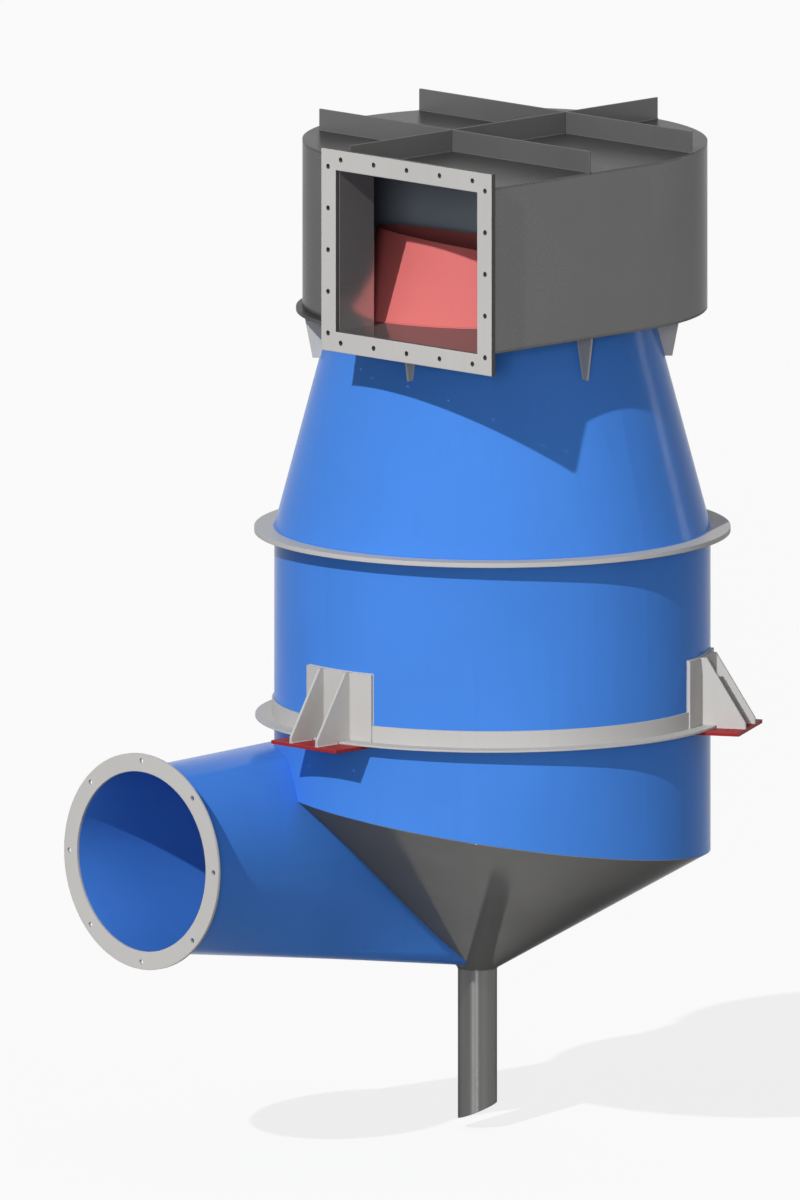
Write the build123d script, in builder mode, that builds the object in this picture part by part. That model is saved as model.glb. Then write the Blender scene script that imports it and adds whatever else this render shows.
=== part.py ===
"""Upflow cyclone separator: a sheet steel vessel hung on three bolted feet.

Gas enters the tangential inlet at the bottom, swirls up through the shell and the top cone,
and leaves through the volute. Liquid runs down the slanted hopper to the drain pipe.
Millimetres, +Z up. The origin is on the underside of the front foot, midway between its anchor
holes, and both flanges face -Y.
"""
import math
import os

from build123d import *

os.makedirs("parts", exist_ok=True)

# Vessel
shell_radius = 600.0
shell_wall = 5.0
shell_top = 525.0
rim_height = -273.0
rim_slope = 0.15
rim_dip_angle = 54.0

# Ring between the shell and the top cone
joint_ring_width = 55.0
joint_ring_thickness = 13.0

# Top cone and the flange on it
cone_height = 602.0
cone_top_radius = 440.0
cone_wall = 5.0
cone_flange_width = 100.0
cone_flange_thickness = 10.0
cone_gusset_count = 6
cone_gusset_start_angle = -13.0
cone_gusset_height = 131.0
cone_gusset_reach = 80.0
cone_gusset_toe = 20.0
cone_gusset_thickness = 6.0

# Rolled angle that stiffens the shell and lies on the feet
ring_leg_width = 52.0
ring_leg_height = 52.0
ring_leg_thickness = 6.0

# Feet, each with a curved pad and two gussets
foot_count = 3
foot_start_angle = 270.0
foot_width = 250.0
foot_thickness = 10.0
anchor_reach = 100.0
anchor_edge = 35.0
anchor_spacing = 180.0
anchor_hole_diameter = 18.0
pad_thickness = 10.0
pad_height = 188.0
foot_gusset_spacing = 100.0
foot_gusset_thickness = 8.0
foot_gusset_toe = 16.0
foot_gusset_shoulder = 14.0
ring_clearance = 1.0

# Volute, whose scroll is three quarter arcs about the corners of a small square
scroll_clearance = 91.0
scroll_step = 26.0
scroll_setback = 12.0
volute_wall_thickness = 5.0
volute_plate_thickness = 6.0
outlet_width = 550.0
outlet_height = 450.0
outlet_face_reach = 650.0
outlet_flange_leg = 56.0
outlet_flange_thickness = 14.0
outlet_bolt_edge = 26.0
outlet_bolt_pitch_x = 128.0
outlet_bolt_pitch_z = 116.0
outlet_bolts_a_side = 5
flange_hole_diameter = 14.0

# Gas cone that stands on the volute's floor
gas_cone_wall = 4.0
gas_cone_taper = 30.0
gas_cone_height = 162.0
gas_cone_slope = 0.198
gas_cone_dip_angle = 74.0

# Ribs on the volute's roof
rib_height = 60.0
rib_thickness = 6.0
front_rib_place = -216.0
front_rib_setback = 77.0
back_rib_place = 226.0
cross_rib_place = 60.0
cross_rib_setback = 20.0

# Tangential inlet
inlet_bore_radius = 250.0
inlet_wall = 4.0
inlet_height = -322.0
inlet_face_reach = 1015.0
inlet_flange_width = 50.0
inlet_flange_thickness = 8.0
inlet_bolt_circle = 560.0
inlet_bolt_count = 8
duct_end_inset = 33.0
duct_end_clearance = 2.2
duct_end_width = 317.0
duct_end_height = 673.0
duct_corner_radius = 40.0

# Drain
drain_radius = 54.0
drain_wall = 4.0
drain_inset = 288.0
drain_place_y = 254.0
drain_top = -755.0
drain_length = 396.0
drain_cut_slope = 0.41

# Heights and radii that follow from the sizes above
anchor_radius = shell_radius + anchor_reach
axis_y = anchor_radius
ring_bottom = foot_thickness
ring_top = ring_bottom + ring_leg_thickness
cone_bottom = shell_top + joint_ring_thickness
cone_top = cone_bottom + cone_height
floor_bottom = cone_top + cone_flange_thickness
floor_top = floor_bottom + volute_plate_thickness
roof_bottom = floor_top + outlet_height
roof_top = roof_bottom + volute_plate_thickness
bore_radius = cone_top_radius - cone_wall
pad_radius = shell_radius + pad_thickness
ring_radius = shell_radius + ring_leg_width
foot_radius = anchor_radius + anchor_edge
scroll_radius = cone_top_radius + scroll_clearance
volute_front = outlet_flange_thickness - outlet_face_reach
volute_right = scroll_radius + 2.5 * scroll_step
tongue_place = volute_right - 2 * volute_wall_thickness - outlet_width
inlet_axis_place = inlet_bore_radius - shell_radius
duct_end_place = duct_end_inset + duct_end_width / 2 - shell_radius
duct_end_reach = math.sqrt(shell_radius**2 - (shell_radius - duct_end_inset) ** 2) - duct_end_clearance
drain_place_x = drain_inset - shell_radius
duct_front = inlet_flange_thickness - inlet_face_reach
vessel_axis = Axis((0, axis_y, 0), (0, 0, 1))
foot_angles = [foot_start_angle + 360 / foot_count * index for index in range(foot_count)]
foot_names = ["front", "right", "left"]


def level(height):
    """Horizontal plane at a height, centred on the vessel's axis."""
    return Plane((0, axis_y, height))


def radial_plane(angle):
    """Upright plane through the vessel's axis: local x runs outwards and local y runs up."""
    direction = Vector(math.cos(math.radians(angle)), math.sin(math.radians(angle)), 0)
    return Plane((0, axis_y, 0), x_dir=direction, z_dir=direction.cross(Vector(0, 0, 1)))


def facing_plane(place_x, reach, height):
    """Upright plane that faces -Y: local x runs along +X and local y runs up."""
    return Plane((place_x, axis_y - reach, height), x_dir=(1, 0, 0), z_dir=(0, -1, 0))


def slanted_plane(height, slope, dip_angle):
    """Plane that crosses the vessel's axis at a height and falls by the slope towards the dip angle."""
    dip = Vector(math.cos(math.radians(dip_angle)), math.sin(math.radians(dip_angle)), 0)
    normal = Vector(slope * dip.X, slope * dip.Y, 1)
    return Plane((0, axis_y, height), x_dir=(dip.X, dip.Y, -slope), z_dir=normal)


def rim_plane():
    """Slanted plane on which the shell ends and the hopper starts."""
    return slanted_plane(rim_height, rim_slope, rim_dip_angle)


def drain_plane(height):
    """Horizontal plane about the drain's axis, turned the way the rim dips."""
    dip = (math.cos(math.radians(rim_dip_angle)), math.sin(math.radians(rim_dip_angle)), 0)
    return Plane((drain_place_x, axis_y + drain_place_y, height), x_dir=dip, z_dir=(0, 0, 1))


def scroll_sketch(height, inset, front):
    """Scroll and outlet duct at a height, moved inwards by the inset and ended at the front line."""
    half = scroll_step / 2
    near = scroll_setback - half
    far = scroll_setback + half
    left = tongue_place + inset
    low = far - scroll_radius + inset
    right = volute_right - inset
    with BuildSketch(level(height)) as outline:
        with BuildLine():
            Polyline((right, near), (right, low), (-half, low))
            CenterArc((-half, far), scroll_radius - inset, 270, -90)
            CenterArc((half, far), scroll_radius + scroll_step - inset, 180, -90)
            CenterArc((half, near), scroll_radius + 2 * scroll_step - inset, 90, -90)
        make_face()
        with Locations((right, front)):
            Rectangle(right - left, near - front, align=(Align.MAX, Align.MIN))
    return outline.sketch


def duct_round_sketch(radius):
    """Round end of the duct, on the back of the inlet flange."""
    with BuildSketch(facing_plane(inlet_axis_place, -duct_front, inlet_height)) as outline:
        Circle(radius)
    return outline.sketch


def duct_end_sketch(inset):
    """Closed far end of the duct, an upright rectangle whose top is level with the round end's.

    The inset moves its sides inwards and the end itself back.
    """
    top = inlet_height + inlet_bore_radius + inlet_wall
    reach = duct_end_reach - inset
    height = duct_end_height - 2 * inset
    with BuildSketch(facing_plane(duct_end_place, -reach, top - duct_end_height / 2)) as outline:
        RectangleRounded(duct_end_width - 2 * inset, height, duct_corner_radius - inset)
    return outline.sketch


def rim_ellipse(radius):
    """Section of an upright cylinder about the vessel's axis on the slanted rim plane."""
    with BuildSketch(rim_plane()) as outline:
        Ellipse(radius * math.hypot(1, rim_slope), radius)
    return outline.sketch


def drain_circle(radius):
    """Section of the drain at the hopper's foot."""
    with BuildSketch(drain_plane(drain_top)) as outline:
        Circle(radius)
    return outline.sketch


def keep(piece, label):
    """Name a finished piece and write it."""
    piece.part.label = label
    export_step(piece.part, f"parts/{label}.step")


# Inside of the inlet duct, taken out of the walls that it opens into
with BuildPart() as duct_cavity:
    loft([duct_round_sketch(inlet_bore_radius), duct_end_sketch(inlet_wall)], ruled=True)

# Outside of the shell and the hopper, which the duct is trimmed to
with BuildPart() as vessel_body:
    with BuildSketch(level(shell_top)):
        Circle(shell_radius)
    extrude(amount=drain_top - shell_top)
    split(bisect_by=rim_plane(), keep=Keep.TOP)
    loft([rim_ellipse(shell_radius), drain_circle(drain_radius)], ruled=True)

# Shell
with BuildPart() as shell:
    with BuildSketch(level(shell_top)):
        Circle(shell_radius)
        Circle(shell_radius - shell_wall, mode=Mode.SUBTRACT)
    extrude(amount=drain_top - shell_top)
    split(bisect_by=rim_plane(), keep=Keep.TOP)
    add(duct_cavity.part, mode=Mode.SUBTRACT)
keep(shell, "shell")

# Hopper
with BuildPart() as hopper:
    loft([rim_ellipse(shell_radius), drain_circle(drain_radius)], ruled=True)
    loft(
        [rim_ellipse(shell_radius - shell_wall), drain_circle(drain_radius - drain_wall)],
        ruled=True,
        mode=Mode.SUBTRACT,
    )
    add(duct_cavity.part, mode=Mode.SUBTRACT)
keep(hopper, "hopper")

# Drain pipe, cut aslant at its lower end
with BuildPart() as drain_pipe:
    with BuildSketch(drain_plane(drain_top)):
        Circle(drain_radius)
        Circle(drain_radius - drain_wall, mode=Mode.SUBTRACT)
    extrude(amount=-drain_length - drain_radius)
    cut_rise = drain_cut_slope / math.sqrt(2)
    split(
        bisect_by=Plane(drain_plane(drain_top - drain_length).origin, z_dir=(-cut_rise, -cut_rise, 1)),
        keep=Keep.TOP,
    )
keep(drain_pipe, "drain_pipe")

# Inlet duct: round at the flange, upright and narrow where it enters the vessel
with BuildPart() as inlet_duct:
    loft([duct_round_sketch(inlet_bore_radius + inlet_wall), duct_end_sketch(0)], ruled=True)
    add(duct_cavity.part, mode=Mode.SUBTRACT)
    add(vessel_body.part, mode=Mode.SUBTRACT)
keep(inlet_duct, "inlet_duct")

# Inlet flange
with BuildPart() as inlet_flange:
    with BuildSketch(facing_plane(inlet_axis_place, -duct_front, inlet_height)):
        Circle(inlet_bore_radius + inlet_flange_width)
        Circle(inlet_bore_radius, mode=Mode.SUBTRACT)
        with PolarLocations(inlet_bolt_circle / 2, inlet_bolt_count):
            Circle(flange_hole_diameter / 2, mode=Mode.SUBTRACT)
    extrude(amount=inlet_flange_thickness)
keep(inlet_flange, "inlet_flange")

# Ring between the shell and the top cone
with BuildPart() as joint_ring:
    with BuildSketch(level(shell_top)):
        Circle(shell_radius + joint_ring_width)
        Circle(shell_radius - shell_wall, mode=Mode.SUBTRACT)
    extrude(amount=joint_ring_thickness)
keep(joint_ring, "joint_ring")

# Top cone
with BuildPart() as top_cone:
    with BuildSketch(radial_plane(0)):
        Polygon(
            (shell_radius - cone_wall, cone_bottom),
            (shell_radius, cone_bottom),
            (cone_top_radius, cone_top),
            (bore_radius, cone_top),
            align=None,
        )
    revolve(axis=vessel_axis)
keep(top_cone, "top_cone")

# Flange on the top cone, which carries the volute
with BuildPart() as cone_flange:
    with BuildSketch(level(cone_top)):
        Circle(cone_top_radius + cone_flange_width)
        Circle(bore_radius, mode=Mode.SUBTRACT)
    extrude(amount=cone_flange_thickness)
keep(cone_flange, "cone_flange")

# Gussets under that flange
cone_taper = (shell_radius - cone_top_radius) / cone_height
toe_radius = cone_top_radius + cone_taper * cone_gusset_height
for index in range(cone_gusset_count):
    with BuildPart() as cone_gusset:
        with BuildSketch(radial_plane(cone_gusset_start_angle + 360 / cone_gusset_count * index)):
            Polygon(
                (cone_top_radius, cone_top),
                (cone_top_radius + cone_gusset_reach, cone_top),
                (toe_radius + cone_gusset_toe, cone_top - cone_gusset_height),
                (toe_radius, cone_top - cone_gusset_height),
                align=None,
            )
        extrude(amount=cone_gusset_thickness / 2, both=True)
    keep(cone_gusset, f"cone_gusset_{index + 1}")

# Feet, pads and their gussets
pad_half_angle = math.degrees(foot_width / 2 / shell_radius)
pads = []
for name, angle in zip(foot_names, foot_angles):
    with BuildPart() as foot:
        with BuildSketch(level(0)):
            with Locations(Rotation(0, 0, angle)):
                with Locations((foot_radius / 2, 0)):
                    Rectangle(foot_radius, foot_width)
                for side in (-1, 1):
                    with Locations((anchor_radius, side * anchor_spacing / 2)):
                        Circle(anchor_hole_diameter / 2, mode=Mode.SUBTRACT)
            Circle(shell_radius, mode=Mode.SUBTRACT)
        extrude(amount=foot_thickness)
    keep(foot, f"{name}_foot")

    with BuildPart() as pad:
        with BuildSketch(radial_plane(angle - pad_half_angle)):
            with Locations((shell_radius + pad_thickness / 2, ring_top + pad_height / 2)):
                Rectangle(pad_thickness, pad_height)
        revolve(axis=vessel_axis, revolution_arc=2 * pad_half_angle)
    pads.append(pad)
    keep(pad, f"{name}_pad")

    for side, side_name in ((-1, "a"), (1, "b")):
        with BuildPart() as foot_gusset:
            with BuildSketch(radial_plane(angle).offset(side * foot_gusset_spacing / 2)):
                Polygon(
                    (shell_radius, ring_top),
                    (ring_radius + ring_clearance, ring_top),
                    (ring_radius + ring_clearance, foot_thickness),
                    (foot_radius, foot_thickness),
                    (foot_radius, foot_thickness + foot_gusset_toe),
                    (pad_radius + foot_gusset_shoulder, ring_top + pad_height),
                    (shell_radius, ring_top + pad_height),
                    align=None,
                )
            extrude(amount=foot_gusset_thickness / 2, both=True)
            with BuildSketch(level(0)):
                Circle(pad_radius)
            extrude(amount=ring_top + pad_height, mode=Mode.SUBTRACT)
        keep(foot_gusset, f"{name}_foot_gusset_{side_name}")

# Rolled angle round the shell, its upright leg left out behind the pads
with BuildPart() as support_ring:
    with BuildSketch(radial_plane(0)):
        Polygon(
            (shell_radius, ring_bottom),
            (ring_radius, ring_bottom),
            (ring_radius, ring_top),
            (shell_radius + ring_leg_thickness, ring_top),
            (shell_radius + ring_leg_thickness, ring_bottom + ring_leg_height),
            (shell_radius, ring_bottom + ring_leg_height),
            align=None,
        )
    revolve(axis=vessel_axis)
    for pad in pads:
        add(pad.part, mode=Mode.SUBTRACT)
keep(support_ring, "support_ring")

# Volute floor, scroll wall and roof
with BuildPart() as volute_floor:
    extrude(scroll_sketch(floor_bottom, 0, volute_front), amount=volute_plate_thickness)
    with BuildSketch(level(floor_bottom)):
        Circle(bore_radius)
    extrude(amount=volute_plate_thickness, mode=Mode.SUBTRACT)
keep(volute_floor, "volute_floor")

with BuildPart() as volute_wall:
    extrude(scroll_sketch(floor_top, 0, volute_front), amount=outlet_height)
    extrude(
        scroll_sketch(floor_top, volute_wall_thickness, -outlet_face_reach),
        amount=outlet_height,
        mode=Mode.SUBTRACT,
    )
keep(volute_wall, "volute_wall")

with BuildPart() as volute_roof:
    extrude(scroll_sketch(roof_bottom, 0, volute_front), amount=volute_plate_thickness)
keep(volute_roof, "volute_roof")

# Outlet flange
outlet_centre_x = tongue_place + volute_wall_thickness + outlet_width / 2
outlet_centre_z = floor_top + outlet_height / 2
flange_width = outlet_width + 2 * outlet_flange_leg
flange_height = outlet_height + 2 * outlet_flange_leg
bolt_line_x = flange_width / 2 - outlet_bolt_edge
bolt_line_z = flange_height / 2 - outlet_bolt_edge
with BuildPart() as outlet_flange:
    with BuildSketch(facing_plane(outlet_centre_x, -volute_front, outlet_centre_z)):
        Rectangle(flange_width, flange_height)
        Rectangle(outlet_width, outlet_height, mode=Mode.SUBTRACT)
        with GridLocations(outlet_bolt_pitch_x, 2 * bolt_line_z, outlet_bolts_a_side, 2):
            Circle(flange_hole_diameter / 2, mode=Mode.SUBTRACT)
        with GridLocations(2 * bolt_line_x, outlet_bolt_pitch_z, 2, outlet_bolts_a_side):
            Circle(flange_hole_diameter / 2, mode=Mode.SUBTRACT)
    extrude(amount=outlet_flange_thickness)
keep(outlet_flange, "outlet_flange")

# Gas cone on the volute's floor, open at its slanted top
gas_cone_foot_radius = bore_radius + gas_cone_wall
gas_cone_rise = gas_cone_height + gas_cone_slope * gas_cone_foot_radius
gas_cone_draw = gas_cone_rise * math.tan(math.radians(gas_cone_taper))
with BuildPart() as gas_cone:
    with BuildSketch(radial_plane(0)):
        Polygon(
            (bore_radius, floor_top),
            (gas_cone_foot_radius, floor_top),
            (gas_cone_foot_radius - gas_cone_draw, floor_top + gas_cone_rise),
            (bore_radius - gas_cone_draw, floor_top + gas_cone_rise),
            align=None,
        )
    revolve(axis=vessel_axis)
    split(
        bisect_by=slanted_plane(floor_top + gas_cone_height, gas_cone_slope, gas_cone_dip_angle),
        keep=Keep.BOTTOM,
    )
keep(gas_cone, "gas_cone")

# Two long ribs on the roof, and a cross rib in three lengths between and beyond them
long_ribs = (("front_rib", front_rib_place, front_rib_setback), ("back_rib", back_rib_place, 0))
for label, place, setback in long_ribs:
    with BuildPart() as long_rib:
        extrude(scroll_sketch(roof_top, 0, volute_front), amount=rib_height)
        with BuildSketch(level(roof_top)):
            with Locations((setback - scroll_radius, place)):
                Rectangle(4 * scroll_radius, rib_thickness, align=(Align.MIN, Align.CENTER))
        extrude(amount=rib_height, mode=Mode.INTERSECT)
    keep(long_rib, label)

cross_rib_lengths = (
    ("cross_rib_front", volute_front + cross_rib_setback, front_rib_place - rib_thickness / 2),
    ("cross_rib_middle", front_rib_place + rib_thickness / 2, back_rib_place - rib_thickness / 2),
    ("cross_rib_back", back_rib_place + rib_thickness / 2, 2 * scroll_radius),
)
for label, start, end in cross_rib_lengths:
    with BuildPart() as cross_rib:
        extrude(scroll_sketch(roof_top, 0, volute_front), amount=rib_height)
        with BuildSketch(level(roof_top)):
            with Locations((cross_rib_place, (start + end) / 2)):
                Rectangle(rib_thickness, end - start)
        extrude(amount=rib_height, mode=Mode.INTERSECT)
    keep(cross_rib, label)
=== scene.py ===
"""Looks of the cyclone separator: painted sheet steel with weld beads, on a pale studio floor."""
import math

import bpy
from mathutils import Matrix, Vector


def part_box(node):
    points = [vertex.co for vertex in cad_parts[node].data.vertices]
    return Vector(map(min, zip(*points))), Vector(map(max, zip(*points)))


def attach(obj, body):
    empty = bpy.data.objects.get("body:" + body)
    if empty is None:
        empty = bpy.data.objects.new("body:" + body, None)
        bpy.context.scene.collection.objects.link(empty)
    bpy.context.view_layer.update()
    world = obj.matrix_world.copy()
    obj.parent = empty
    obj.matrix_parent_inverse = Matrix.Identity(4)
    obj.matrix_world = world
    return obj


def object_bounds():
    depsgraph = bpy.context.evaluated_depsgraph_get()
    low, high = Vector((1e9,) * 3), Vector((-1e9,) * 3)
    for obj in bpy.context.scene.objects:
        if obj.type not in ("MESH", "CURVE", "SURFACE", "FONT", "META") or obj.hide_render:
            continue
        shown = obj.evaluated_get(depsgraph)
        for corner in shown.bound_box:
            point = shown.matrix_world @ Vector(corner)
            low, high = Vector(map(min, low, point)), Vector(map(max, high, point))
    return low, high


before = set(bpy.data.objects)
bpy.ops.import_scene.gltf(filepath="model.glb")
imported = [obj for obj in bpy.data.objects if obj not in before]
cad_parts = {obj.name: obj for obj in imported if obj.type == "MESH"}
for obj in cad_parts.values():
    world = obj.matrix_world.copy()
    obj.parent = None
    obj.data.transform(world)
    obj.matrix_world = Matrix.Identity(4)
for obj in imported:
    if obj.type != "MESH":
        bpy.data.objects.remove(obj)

cad_box = [list(corner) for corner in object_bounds()]

# Camera: the photograph's parallel view
IMAGE_HEIGHT = 1200
MM_A_PIXEL = 2.749
CAMERA_AZIMUTH = math.radians(45)
CAMERA_ELEVATION = math.radians(9.1)
CAMERA_DISTANCE = 30.0
CAMERA_DEPTH = 300.0
AIM_SIDEWAYS = -0.254
AIM_HEIGHT = 0.331

# Light: a crisp key, a low one into the openings, a fill from the right and a faint one from behind
KEY_AZIMUTH = math.radians(17)
KEY_ELEVATION = math.radians(35)
KEY_STRENGTH = 2.8
KEY_SPREAD = math.radians(0.8)
FRONT_AZIMUTH = math.radians(41)
FRONT_ELEVATION = math.radians(9)
FRONT_STRENGTH = 0.6
FRONT_SPREAD = math.radians(8)
FILL_AZIMUTH = math.radians(84)
FILL_ELEVATION = math.radians(10)
FILL_STRENGTH = 0.3
FILL_SPREAD = math.radians(40)
BACK_AZIMUTH = math.radians(170)
BACK_ELEVATION = math.radians(3.2)
BACK_STRENGTH = 0.09
BACK_SPREAD = math.radians(1.5)
WORLD_LIGHT = 0.25
FLOOR_GAP = 0.03
FLOOR_SIZE = 120.0
FLOOR_WHITE_SHARE = 0.8

# Colours, linear
BLUE = (0.058, 0.212, 0.66)
LIGHT_GREY = (0.47, 0.462, 0.45)
WALL_GREY = (0.15, 0.15, 0.149)
RIB_GREY = (0.135, 0.135, 0.134)
# Light, bluish grey for the volute's inside faces: painted light where the lamps hardly reach
INSIDE_GREY_PAINTED_LIGHT = (0.33, 0.38, 0.45)
POLISHED_GREY = (0.48, 0.48, 0.48)
# Darker than the wall's grey: painted shade on the volute roof, which the lamps light more than the wall;
# the volute floor and cone flange use it too
STEEL_GREY_PAINTED_SHADE = (0.12, 0.12, 0.119)
HOPPER_GREY = (0.41, 0.407, 0.398)
STEEL = (0.15, 0.151, 0.147)
EDGE_GREY = (0.075, 0.074, 0.072)
RED = (0.3, 0.022, 0.025)
SALMON = (0.61, 0.15, 0.145)
FLOOR_SEEN = (0.95, 0.95, 0.95)
FLOOR_BOUNCE = (0.32, 0.32, 0.32)
WHITE = (1, 1, 1)

# Finishes inside the volute: colour, metal share and roughness. The dull one is a light, bluish grey, which
# is painted light on inside faces that the lamps hardly reach
PAINTED_LIGHT_INSIDE = (INSIDE_GREY_PAINTED_LIGHT, 0.1, 0.4)
POLISH = (POLISHED_GREY, 0.8, 0.12)

# Grain of the sheets: noise scales a metre, and the spans of the noise that are used
NOISE_SPAN = (0.3, 0.7)
CLOUD_SCALE = 2.2
CLOUD_DETAIL = 4.0
CLOUD_ROUGHNESS = 0.05
STREAK_SCALE = 26.0
STREAK_DETAIL = 3.0
STREAK_STRETCH = (1, 1, 0.05)
STREAK_SPAN = (0.55, 0.8)
STREAK_SHARE = 0.35
STREAK_DEPTH = 2.2
SKIN_SCALE = 420.0
SKIN_HEIGHT = 0.0006
SKIN_ROUGHNESS = 0.03

# Worn edges with a painted highlight: their width, how far the surface turns there, and how light they get
EDGE_WIDTH = 0.003
EDGE_SAMPLES = 4
EDGE_TURN = (0.75, 0.995)
WORN_AND_HIGHLIT_TONE = 0.62
WORN_AND_HIGHLIT_SHARE = 0.55
WORN_AND_HIGHLIT_LEAST = 0.4
BARE_STEEL = {"peel": 0.05, "wear_and_highlight": 0.1}

# Stretch of a drawn pipe's gloss, and its turn as a share of a full one
DRAWN_STRETCH = 0.8
DRAWN_TURN = 0.25

# A face looks along an axis where its normal's part on that axis is more than this
LOOKS_ALONG = 0.5
LOOKS_SQUARELY = 0.7

# Weld beads
BEAD_RADIUS = 0.0028
FILLET_RADIUS = 0.002
BEAD_SIDES = 8
BEAD_STEP = 0.006
BEAD_FEWEST_STEPS = 24
BEAD_RIPPLE = 0.16
BEAD_RIPPLE_TURN = 2.1
PAD_ARC_STEPS = 40
SHARP_ANGLE = math.radians(25)

# Sizes that the nodes' boxes don't give
CONE_TOP_RADIUS = 0.44
INLET_RADIUS = 0.254
CONE_GUSSET_HALF = 0.003
CONE_GUSSET_REACH = 0.08
FOOT_ANGLES = [math.radians(angle) for angle in (270, 30, 150)]

# Sizes from the nodes' boxes
shell_low, shell_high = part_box("shell")
cone_low, cone_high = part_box("top_cone")
joint_low, joint_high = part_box("joint_ring")
ring_low, ring_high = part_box("support_ring")
gas_low, gas_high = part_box("gas_cone")
outlet_low, outlet_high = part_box("outlet_flange")
inlet_low, inlet_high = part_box("inlet_flange")
drain_low, drain_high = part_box("drain_pipe")
foot_low, foot_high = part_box("front_foot")
pad_low, pad_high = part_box("front_pad")
gusset_low, gusset_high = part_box("front_foot_gusset_a")
VESSEL = Vector(((shell_low.x + shell_high.x) / 2, (shell_low.y + shell_high.y) / 2, 0))
SHELL_RADIUS = (shell_high.x - shell_low.x) / 2
CONE_TAPER = (SHELL_RADIUS - CONE_TOP_RADIUS) / (cone_high.z - cone_low.z)
RING_RADIUS = (ring_high.x - ring_low.x) / 2
GAS_CONE_RADIUS = (gas_high.x - gas_low.x) / 2
OUTLET_MIDDLE = (outlet_low.x + outlet_high.x) / 2
DRAIN_RADIUS = (drain_high.x - drain_low.x) / 2
FOOT_RADIUS = VESSEL.y - foot_low.y
PAD_RADIUS = VESSEL.y - pad_low.y
PAD_HALF_ANGLE = math.asin(pad_high.x / PAD_RADIUS)


class Nodes:
    """Short way to add and link the shader nodes of one material or world."""

    MIX_COLOURS = (6, 7)
    MIX_RESULT = 2

    def __init__(self, owner, fresh=True):
        owner.use_nodes = True
        self.tree = owner.node_tree
        if fresh:
            self.tree.nodes.clear()

    def add(self, kind, **values):
        node = self.tree.nodes.new(kind)
        for key, value in values.items():
            setattr(node, key, value)
        return node

    def link(self, source, target):
        self.tree.links.new(source, target)

    def shader(self):
        return next(node for node in self.tree.nodes if node.type == "BSDF_PRINCIPLED")

    def math(self, operation, first, second=0.0):
        node = self.add("ShaderNodeMath", operation=operation)
        for place, value in enumerate((first, second)):
            if isinstance(value, (int, float)):
                node.inputs[place].default_value = value
            else:
                self.link(value, node.inputs[place])
        return node.outputs[0]

    def dot(self, first, second):
        node = self.add("ShaderNodeVectorMath", operation="DOT_PRODUCT")
        self.link(first, node.inputs[0])
        self.link(second, node.inputs[1])
        return node.outputs["Value"]

    def ramp(self, source, low, high, start=0.0, end=1.0):
        """Maps source from the span start to end onto the span low to high."""
        node = self.add("ShaderNodeMapRange")
        self.link(source, node.inputs["Value"])
        for key, value in (("From Min", start), ("From Max", end), ("To Min", low), ("To Max", high)):
            node.inputs[key].default_value = value
        return node.outputs["Result"]

    def mix(self, factor, first, second):
        """Mixes two colours, each a socket or a plain colour."""
        node = self.add("ShaderNodeMix", data_type="RGBA")
        self.link(factor, node.inputs["Factor"])
        for place, value in zip(self.MIX_COLOURS, (first, second)):
            if isinstance(value, tuple):
                node.inputs[place].default_value = (*value, 1)
            else:
                self.link(value, node.inputs[place])
        return node.outputs[self.MIX_RESULT]

    def place(self):
        """Place on the part, in its own frame."""
        return self.add("ShaderNodeTexCoord").outputs["Object"]

    def facing(self):
        """Direction that the flat surface looks in."""
        return self.add("ShaderNodeNewGeometry").outputs["True Normal"]

    def parts(self, vector):
        node = self.add("ShaderNodeSeparateXYZ")
        self.link(vector, node.inputs[0])
        return node.outputs

    def noise(self, scale, detail=2.0, stretch=(1, 1, 1)):
        """Noise in the part's own frame, stretched along its axes."""
        mapping = self.add("ShaderNodeMapping")
        mapping.inputs["Scale"].default_value = stretch
        self.link(self.place(), mapping.inputs["Vector"])
        node = self.add("ShaderNodeTexNoise")
        node.inputs["Scale"].default_value = scale
        node.inputs["Detail"].default_value = detail
        self.link(mapping.outputs["Vector"], node.inputs["Vector"])
        return node.outputs["Fac"]


def scaled(colour, factor):
    return tuple(channel * factor for channel in colour)


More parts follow.
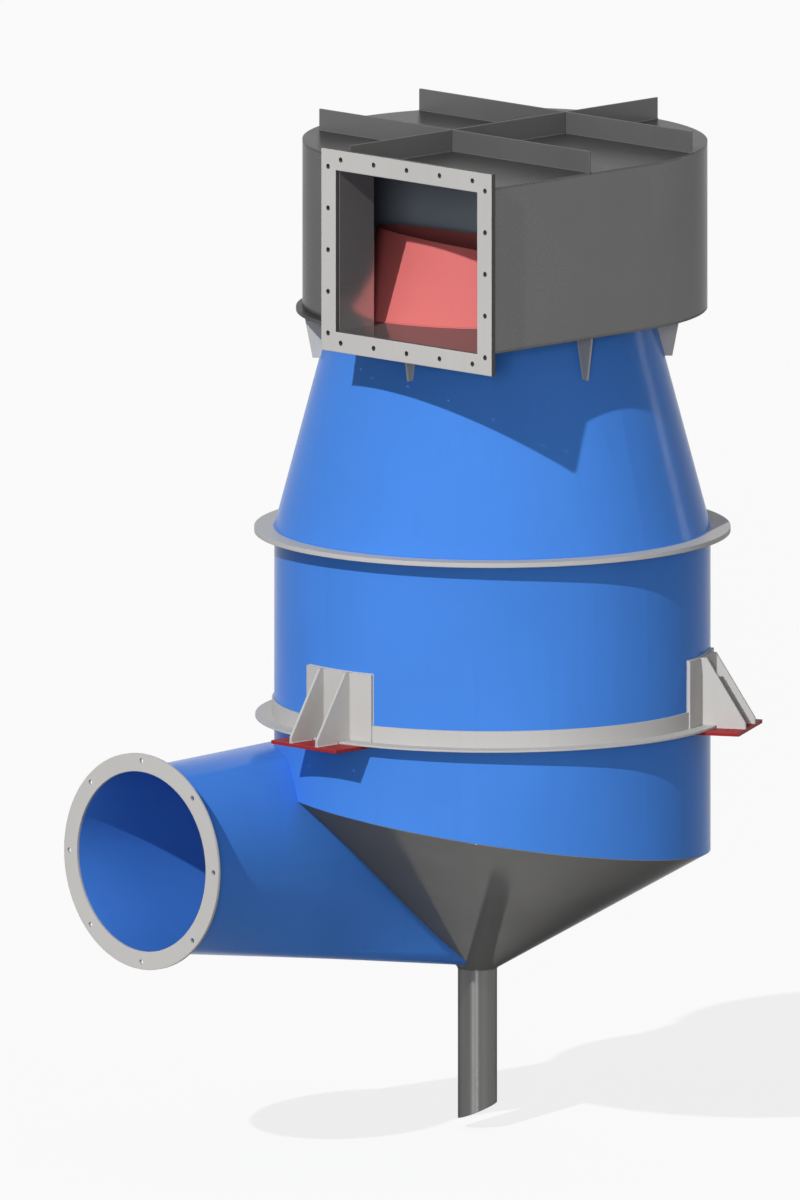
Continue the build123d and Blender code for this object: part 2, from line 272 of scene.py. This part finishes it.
def sheet_metal(
    name, colour, roughness, metallic=0.0, gloss=0.04, rim=0.35, variation=0.05, peel=0.1, wear_and_highlight=0.35
):
    """Painted or bare sheet: cloudy colour, streaks, uneven gloss, fine skin and lighter edges, worn paint
    with a painted highlight.

    The rim is how much of a metal's mirroring is left where it is seen at a slant.
    """
    material = bpy.data.materials.new(name)
    nodes = Nodes(material)
    shader = nodes.add("ShaderNodeBsdfPrincipled")
    nodes.link(shader.outputs[0], nodes.add("ShaderNodeOutputMaterial").inputs[0])
    shader.inputs["Metallic"].default_value = metallic
    shader.inputs["Specular IOR Level"].default_value = gloss
    if metallic:
        shader.inputs["Specular Tint"].default_value = (rim, rim, rim, 1)

    clouds = nodes.noise(CLOUD_SCALE, CLOUD_DETAIL)
    streaks = nodes.noise(STREAK_SCALE, STREAK_DETAIL, STREAK_STRETCH)
    skin = nodes.noise(SKIN_SCALE)
    cloudy = nodes.ramp(clouds, 0, 1, *NOISE_SPAN)
    broad = nodes.mix(cloudy, scaled(colour, 1 - variation), scaled(colour, 1 + variation))
    streaky = nodes.ramp(streaks, 0, STREAK_SHARE, *STREAK_SPAN)
    runs = nodes.mix(streaky, broad, scaled(colour, 1 - STREAK_DEPTH * variation))

    edge = nodes.add("ShaderNodeBevel", samples=EDGE_SAMPLES)
    edge.inputs["Radius"].default_value = EDGE_WIDTH
    turn = nodes.dot(edge.outputs["Normal"], nodes.add("ShaderNodeNewGeometry").outputs["Normal"])
    # Lighter towards every edge: worn paint and a painted edge highlight
    rubbed_and_highlit = nodes.ramp(turn, WORN_AND_HIGHLIT_SHARE, 0, *EDGE_TURN)
    worn_and_highlit = nodes.math("MULTIPLY", rubbed_and_highlit, nodes.ramp(skin, WORN_AND_HIGHLIT_LEAST, 1))
    faded_and_highlit = tuple(channel + (WORN_AND_HIGHLIT_TONE - channel) * wear_and_highlight for channel in colour)
    nodes.link(nodes.mix(worn_and_highlit, runs, faded_and_highlit), shader.inputs["Base Color"])

    broad_sheen = nodes.ramp(clouds, roughness - CLOUD_ROUGHNESS, roughness + CLOUD_ROUGHNESS, *NOISE_SPAN)
    fine_sheen = nodes.ramp(skin, -SKIN_ROUGHNESS, SKIN_ROUGHNESS, *NOISE_SPAN)
    nodes.link(nodes.math("ADD", broad_sheen, fine_sheen), shader.inputs["Roughness"])
    bump = nodes.add("ShaderNodeBump")
    bump.inputs["Strength"].default_value = peel
    bump.inputs["Distance"].default_value = SKIN_HEIGHT
    nodes.link(skin, bump.inputs["Height"])
    nodes.link(edge.outputs["Normal"], bump.inputs["Normal"])
    nodes.link(bump.outputs["Normal"], shader.inputs["Normal"])
    return material


def tint(nodes, mask, colour):
    """Lays a colour over the material's own one where the mask is 1."""
    base = nodes.shader().inputs["Base Color"]
    nodes.link(nodes.mix(mask, base.links[0].from_socket, colour), base)


def refinish(nodes, mask, colour, metallic, roughness):
    """Gives the material another colour, metal share and roughness where the mask is 1."""
    tint(nodes, mask, colour)
    shader = nodes.shader()
    for key, value in (("Metallic", metallic), ("Roughness", roughness)):
        socket = shader.inputs[key]
        own = socket.links[0].from_socket if socket.links else socket.default_value
        kept = nodes.math("MULTIPLY", nodes.math("SUBTRACT", 1.0, mask), own)
        nodes.link(nodes.math("ADD", kept, nodes.math("MULTIPLY", mask, value)), socket)


def drawn(material):
    """Steel drawn into a pipe: its gloss stretches into a stripe along the pipe."""
    nodes = Nodes(material, fresh=False)
    shader = nodes.shader()
    shader.inputs["Anisotropic"].default_value = DRAWN_STRETCH
    shader.inputs["Anisotropic Rotation"].default_value = DRAWN_TURN
    round_pipe = nodes.add("ShaderNodeTangent", direction_type="RADIAL", axis="Z")
    nodes.link(round_pipe.outputs[0], shader.inputs["Tangent"])


def dark_edged(material):
    """Makes the outlet flange dark on all that faces neither forwards nor back: its edges."""
    nodes = Nodes(material, fresh=False)
    forwards = nodes.math("ABSOLUTE", nodes.parts(nodes.facing())["Y"])
    tint(nodes, nodes.math("LESS_THAN", forwards, LOOKS_ALONG), EDGE_GREY)


def painted_light_on_inner_walls(material):
    """Scroll wall: a light, bluish, dull grey as painted light on the faces that look towards its middle,
    and a polished tongue.
    """
    nodes = Nodes(material, fresh=False)
    outwards = nodes.add("ShaderNodeVectorMath", operation="SUBTRACT")
    outwards.inputs[1].default_value = (OUTLET_MIDDLE, VESSEL.y, 0)
    place = nodes.place()
    facing = nodes.facing()
    nodes.link(place, outwards.inputs[0])
    inwards = nodes.math("LESS_THAN", nodes.dot(outwards.outputs[0], facing), 0)
    # The inner faces get the light, bluish grey: painted light
    refinish(nodes, inwards, *PAINTED_LIGHT_INSIDE)
    spot = nodes.parts(place)
    left = nodes.math("LESS_THAN", spot["X"], OUTLET_MIDDLE)
    forward = nodes.math("LESS_THAN", spot["Y"], VESSEL.y - GAS_CONE_RADIUS)
    across = nodes.math("GREATER_THAN", nodes.parts(facing)["X"], LOOKS_SQUARELY)
    tongue = nodes.math("MULTIPLY", nodes.math("MULTIPLY", left, forward), across)
    refinish(nodes, tongue, *POLISH)


def polished_on_top(material):
    """Volute floor: polished on its upper face, inside the volute."""
    nodes = Nodes(material, fresh=False)
    upper = nodes.math("GREATER_THAN", nodes.parts(nodes.facing())["Z"], LOOKS_ALONG)
    refinish(nodes, upper, *POLISH)


def painted_light_under_roof(material):
    """Volute roof: a light, bluish, dull grey as painted light on its lower face, inside the volute."""
    nodes = Nodes(material, fresh=False)
    lower = nodes.math("LESS_THAN", nodes.parts(nodes.facing())["Z"], -LOOKS_ALONG)
    # The roof's lower face gets the light, bluish grey: painted light
    refinish(nodes, lower, *PAINTED_LIGHT_INSIDE)


# Paints
blue = sheet_metal("blue_paint", BLUE, roughness=0.21, gloss=0.025)
red = sheet_metal("red_paint", RED, roughness=0.42)
salmon = sheet_metal("gas_cone_paint", SALMON, roughness=0.5, variation=0.04, wear_and_highlight=0.2)
light_grey = sheet_metal("light_grey_paint", LIGHT_GREY, roughness=0.45, variation=0.04)
flange_grey = sheet_metal("outlet_flange_paint", LIGHT_GREY, roughness=0.45, variation=0.04)
dark_edged(flange_grey)

# Bare steels
wall_steel = sheet_metal("volute_steel", WALL_GREY, roughness=0.26, metallic=0.7, rim=0.5, **BARE_STEEL)
# Roof in the darker grey: painted shade
roof_steel = sheet_metal("volute_roof_steel", STEEL_GREY_PAINTED_SHADE, roughness=0.3, metallic=0.7, rim=0.5, **BARE_STEEL)
floor_steel = sheet_metal("volute_floor_steel", STEEL_GREY_PAINTED_SHADE, roughness=0.3, metallic=0.7, **BARE_STEEL)
flange_steel = sheet_metal("cone_flange_steel", STEEL_GREY_PAINTED_SHADE, roughness=0.3, metallic=0.7, **BARE_STEEL)
rib_steel = sheet_metal("rib_steel", RIB_GREY, roughness=0.35, metallic=0.3, **BARE_STEEL)
hopper_steel = sheet_metal(
    "hopper_steel", HOPPER_GREY, roughness=0.1, metallic=0.55, gloss=0.0, rim=0.05, **BARE_STEEL
)
drain_steel = sheet_metal("drain_steel", STEEL, roughness=0.4, metallic=0.9, **BARE_STEEL)
painted_light_on_inner_walls(wall_steel)
painted_light_under_roof(roof_steel)
polished_on_top(floor_steel)
drawn(drain_steel)

FINISHES = {
    "shell": blue,
    "top_cone": blue,
    "inlet_duct": blue,
    "hopper": hopper_steel,
    "drain_pipe": drain_steel,
    "gas_cone": salmon,
    "outlet_flange": flange_grey,
    "volute_wall": wall_steel,
    "volute_roof": roof_steel,
    "volute_floor": floor_steel,
    "cone_flange": flange_steel,
}


def finish_of(node):
    """Material of a CAD node."""
    if node in FINISHES:
        return FINISHES[node]
    if node.endswith("_foot"):
        return red
    return rib_steel if "rib" in node else light_grey


def dress_nodes():
    """Gives each CAD node its finish, shades round faces smoothly and keeps the plates' corners sharp."""
    for node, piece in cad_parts.items():
        piece.data.materials.clear()
        piece.data.materials.append(finish_of(node))
        piece.data.shade_smooth()
        piece.data.set_sharp_from_angle(angle=SHARP_ANGLE)


def add_bead(vertices, faces, points, closed, thickness):
    """Adds one weld bead along points: a round bar whose radius ripples like laid weld metal."""
    first = len(vertices)
    count = len(points)
    side = (points[1] - points[0]).orthogonal()
    for index, point in enumerate(points):
        before = points[(index - 1) % count] if closed or index else point
        after = points[(index + 1) % count] if closed or index + 1 < count else point
        along = (after - before).normalized()
        side = (side - side.dot(along) * along).normalized()
        up = along.cross(side)
        radius = thickness * (1 + BEAD_RIPPLE * math.sin(index * BEAD_RIPPLE_TURN))
        for step in range(BEAD_SIDES):
            angle = 2 * math.pi * step / BEAD_SIDES
            vertices.append(point + radius * (math.cos(angle) * side + math.sin(angle) * up))
    for ring in range(count if closed else count - 1):
        here = first + ring * BEAD_SIDES
        there = first + (ring + 1) % count * BEAD_SIDES
        for step in range(BEAD_SIDES):
            across = (step + 1) % BEAD_SIDES
            faces.append((here + step, here + across, there + across, there + step))
    if not closed:
        last = first + (count - 1) * BEAD_SIDES
        faces.append(tuple(first + step for step in reversed(range(BEAD_SIDES))))
        faces.append(tuple(last + step for step in range(BEAD_SIDES)))


def add_weld(name, paths, closed, thickness, material):
    """Makes one piece of beads along several paths."""
    vertices = []
    faces = []
    for points in paths:
        add_bead(vertices, faces, points, closed, thickness)
    mesh = bpy.data.meshes.new(name)
    mesh.from_pydata(vertices, [], faces)
    mesh.shade_smooth()
    mesh.materials.append(material)
    piece = bpy.data.objects.new(name, mesh)
    bpy.context.scene.collection.objects.link(piece)
    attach(piece, "root")


def circle_points(centre, radius, first, second):
    """Evenly spaced points round a circle, about one bead step apart."""
    count = max(BEAD_FEWEST_STEPS, int(2 * math.pi * radius / BEAD_STEP))
    angles = [2 * math.pi * index / count for index in range(count)]
    return [centre + radius * (math.cos(angle) * first + math.sin(angle) * second) for angle in angles]


def line_points(start, end):
    """Evenly spaced points from start to end, about one bead step apart."""
    count = max(2, int((end - start).length / BEAD_STEP))
    return [start.lerp(end, index / count) for index in range(count + 1)]


def level_circle(centre, radius):
    return circle_points(centre, radius, Vector((1, 0, 0)), Vector((0, 1, 0)))


def beside_vessel(angle, radius, offset, height):
    """Point at a radius on the ray at an angle from the vessel's axis, moved sideways by an offset."""
    along = Vector((math.cos(angle), math.sin(angle), 0))
    across = Vector((-along.y, along.x, 0))
    return VESSEL + radius * along + offset * across + Vector((0, 0, height))


def rib_lines(node):
    """Lines along both sides of a rib's foot."""
    low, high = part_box(node)
    if high.x - low.x > high.y - low.y:
        ends = [((low.x, y, low.z), (high.x, y, low.z)) for y in (low.y, high.y)]
    else:
        ends = [((x, low.y, low.z), (x, high.y, low.z)) for x in (low.x, high.x)]
    return [line_points(Vector(start), Vector(end)) for start, end in ends]


def cone_gusset_lines(node):
    """Lines where a gusset under the cone's flange meets the cone and the flange, on both its sides."""
    low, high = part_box(node)
    middle = (low + high) / 2 - VESSEL
    angle = math.atan2(middle.y, middle.x)
    toe_radius = CONE_TOP_RADIUS + CONE_TAPER * (high.z - low.z)
    lines = []
    for side in (-CONE_GUSSET_HALF, CONE_GUSSET_HALF):
        corner = beside_vessel(angle, CONE_TOP_RADIUS, side, high.z)
        toe = beside_vessel(angle, toe_radius, side, low.z)
        outer = beside_vessel(angle, CONE_TOP_RADIUS + CONE_GUSSET_REACH, side, high.z)
        lines += [line_points(corner, toe), line_points(corner, outer)]
    return lines


def pad_lines(angle):
    """Lines up both ends of a foot's curved pad and along its top, where it lies on the shell."""
    steps = [PAD_HALF_ANGLE * (2 * index / PAD_ARC_STEPS - 1) for index in range(PAD_ARC_STEPS + 1)]
    lines = [[beside_vessel(angle + step, SHELL_RADIUS, 0, pad_high.z) for step in steps]]
    for end in (angle - PAD_HALF_ANGLE, angle + PAD_HALF_ANGLE):
        bottom = beside_vessel(end, SHELL_RADIUS, 0, pad_low.z)
        lines.append(line_points(bottom, beside_vessel(end, SHELL_RADIUS, 0, pad_high.z)))
    return lines


def foot_gusset_lines(angle):
    """Lines where the two gussets of a foot meet its pad and its plate, on both their sides."""
    lines = []
    for across in (gusset_low.x, gusset_high.x, -gusset_high.x, -gusset_low.x):
        reach = math.sqrt(PAD_RADIUS**2 - across**2)
        start = beside_vessel(angle, reach, across, pad_low.z)
        lines.append(line_points(start, beside_vessel(angle, reach, across, pad_high.z)))
        start = beside_vessel(angle, RING_RADIUS, across, foot_high.z)
        lines.append(line_points(start, beside_vessel(angle, FOOT_RADIUS, across, foot_high.z)))
    return lines


def joined(lines_of, places):
    """The lines of several places in one list."""
    return [line for place in places for line in lines_of(place)]


def add_ring_welds():
    """Beads round the vessel, the drain and the inlet."""
    round_vessel = (
        ("weld_shell_to_ring", SHELL_RADIUS, joint_low.z, blue, "blue_paint"),
        ("weld_cone_to_ring", SHELL_RADIUS, joint_high.z, blue, "blue_paint"),
        ("weld_cone_to_flange", CONE_TOP_RADIUS, cone_high.z, blue, "blue_paint"),
        ("weld_angle_to_shell", SHELL_RADIUS, ring_low.z, blue, "blue_paint"),
        ("weld_gas_cone", GAS_CONE_RADIUS, gas_low.z, salmon, "red_paint"),
    )
    for name, radius, height, material, slot in round_vessel:
        ring = level_circle(VESSEL + Vector((0, 0, height)), radius)
        add_weld(name, [ring], True, BEAD_RADIUS, material)
    drain = Vector(((drain_low.x + drain_high.x) / 2, (drain_low.y + drain_high.y) / 2, drain_high.z))
    drain_ring = level_circle(drain, DRAIN_RADIUS)
    add_weld("weld_drain", [drain_ring], True, FILLET_RADIUS, flange_steel)
    inlet = Vector(((inlet_low.x + inlet_high.x) / 2, inlet_high.y, (inlet_low.z + inlet_high.z) / 2))
    inlet_ring = circle_points(inlet, INLET_RADIUS, Vector((1, 0, 0)), Vector((0, 0, 1)))
    add_weld("weld_inlet", [inlet_ring], True, BEAD_RADIUS, blue)


def add_plate_welds():
    """Small welds of the ribs, gussets and pads."""
    ribs = joined(rib_lines, [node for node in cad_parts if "rib" in node])
    cone_gussets = joined(cone_gusset_lines, [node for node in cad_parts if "cone_gusset" in node])
    pads = joined(pad_lines, FOOT_ANGLES)
    foot_gussets = joined(foot_gusset_lines, FOOT_ANGLES)
    add_weld("weld_ribs", ribs, False, FILLET_RADIUS, rib_steel)
    add_weld("weld_cone_gussets", cone_gussets, False, FILLET_RADIUS, light_grey)
    add_weld("weld_pads", pads, False, FILLET_RADIUS, light_grey)
    add_weld("weld_foot_gussets", foot_gussets, False, FILLET_RADIUS, light_grey)


def direction(azimuth, elevation):
    """Unit vector towards a place at that azimuth and elevation: azimuth 0 is -Y and 90 degrees is +X."""
    flat = math.cos(elevation)
    return Vector((math.sin(azimuth) * flat, -math.cos(azimuth) * flat, math.sin(elevation)))


def add_sun(name, azimuth, elevation, strength, spread):
    lamp = bpy.data.lights.new(name, "SUN")
    lamp.energy = strength
    lamp.angle = spread
    sun = bpy.data.objects.new(name, lamp)
    sun.rotation_euler = direction(azimuth, elevation).to_track_quat("Z", "Y").to_euler()
    bpy.context.scene.collection.objects.link(sun)


def add_camera():
    camera = bpy.data.cameras.new("camera")
    camera.type = "ORTHO"
    camera.ortho_scale = IMAGE_HEIGHT * MM_A_PIXEL / 1000
    camera.clip_end = CAMERA_DEPTH
    view = bpy.data.objects.new("camera", camera)
    towards = direction(CAMERA_AZIMUTH, CAMERA_ELEVATION)
    sideways = Vector((math.cos(CAMERA_AZIMUTH), math.sin(CAMERA_AZIMUTH), 0))
    aim = VESSEL + Vector((0, 0, AIM_HEIGHT)) + AIM_SIDEWAYS * sideways
    view.location = aim + CAMERA_DISTANCE * towards
    view.rotation_euler = towards.to_track_quat("Z", "Y").to_euler()
    bpy.context.scene.collection.objects.link(view)
    bpy.context.scene.camera = view


def seen_directly(nodes):
    """1 where the camera, a gloss or glass looks at a surface, and 0 for the light that it gives others."""
    path = nodes.add("ShaderNodeLightPath").outputs
    seen = nodes.math("MAXIMUM", path["Is Camera Ray"], path["Is Glossy Ray"])
    return nodes.math("MAXIMUM", seen, path["Is Transmission Ray"])


def add_floor(height):
    """Pale floor that shows nearly white with the object's shadow on it, and sends little light back up."""
    half = FLOOR_SIZE / 2
    mesh = bpy.data.meshes.new("floor")
    corners = [(-half, -half, 0), (half, -half, 0), (half, half, 0), (-half, half, 0)]
    mesh.from_pydata(corners, [], [(0, 1, 2, 3)])
    floor = bpy.data.objects.new("floor", mesh)
    floor.location.z = height
    bpy.context.scene.collection.objects.link(floor)
    material = bpy.data.materials.new("floor")
    nodes = Nodes(material)
    seen = seen_directly(nodes)
    matt = nodes.add("ShaderNodeBsdfDiffuse")
    nodes.link(nodes.mix(seen, FLOOR_BOUNCE, FLOOR_SEEN), matt.inputs["Color"])
    white = nodes.add("ShaderNodeEmission")
    choose = nodes.add("ShaderNodeMixShader")
    nodes.link(nodes.math("MULTIPLY", seen, FLOOR_WHITE_SHARE), choose.inputs[0])
    nodes.link(matt.outputs[0], choose.inputs[1])
    nodes.link(white.outputs[0], choose.inputs[2])
    nodes.link(choose.outputs[0], nodes.add("ShaderNodeOutputMaterial").inputs[0])
    mesh.materials.append(material)


def add_world():
    """Plain grey light for the object, and white where the camera, a gloss or glass looks past the floor."""
    world = bpy.data.worlds.new("studio")
    bpy.context.scene.world = world
    nodes = Nodes(world)
    lit = nodes.add("ShaderNodeBackground")
    lit.inputs["Strength"].default_value = WORLD_LIGHT
    white = nodes.add("ShaderNodeBackground")
    for background in (lit, white):
        background.inputs["Color"].default_value = (*WHITE, 1)
    choose = nodes.add("ShaderNodeMixShader")
    nodes.link(seen_directly(nodes), choose.inputs[0])
    nodes.link(lit.outputs[0], choose.inputs[1])
    nodes.link(white.outputs[0], choose.inputs[2])
    nodes.link(choose.outputs[0], nodes.add("ShaderNodeOutputWorld").inputs[0])


dress_nodes()
add_ring_welds()
add_plate_welds()
add_camera()
add_sun("key", KEY_AZIMUTH, KEY_ELEVATION, KEY_STRENGTH, KEY_SPREAD)
add_sun("front", FRONT_AZIMUTH, FRONT_ELEVATION, FRONT_STRENGTH, FRONT_SPREAD)
add_sun("fill", FILL_AZIMUTH, FILL_ELEVATION, FILL_STRENGTH, FILL_SPREAD)
add_sun("back", BACK_AZIMUTH, BACK_ELEVATION, BACK_STRENGTH, BACK_SPREAD)
add_world()
add_floor(cad_box[0][2] - FLOOR_GAP)
bpy.context.scene.view_settings.view_transform = "Standard"
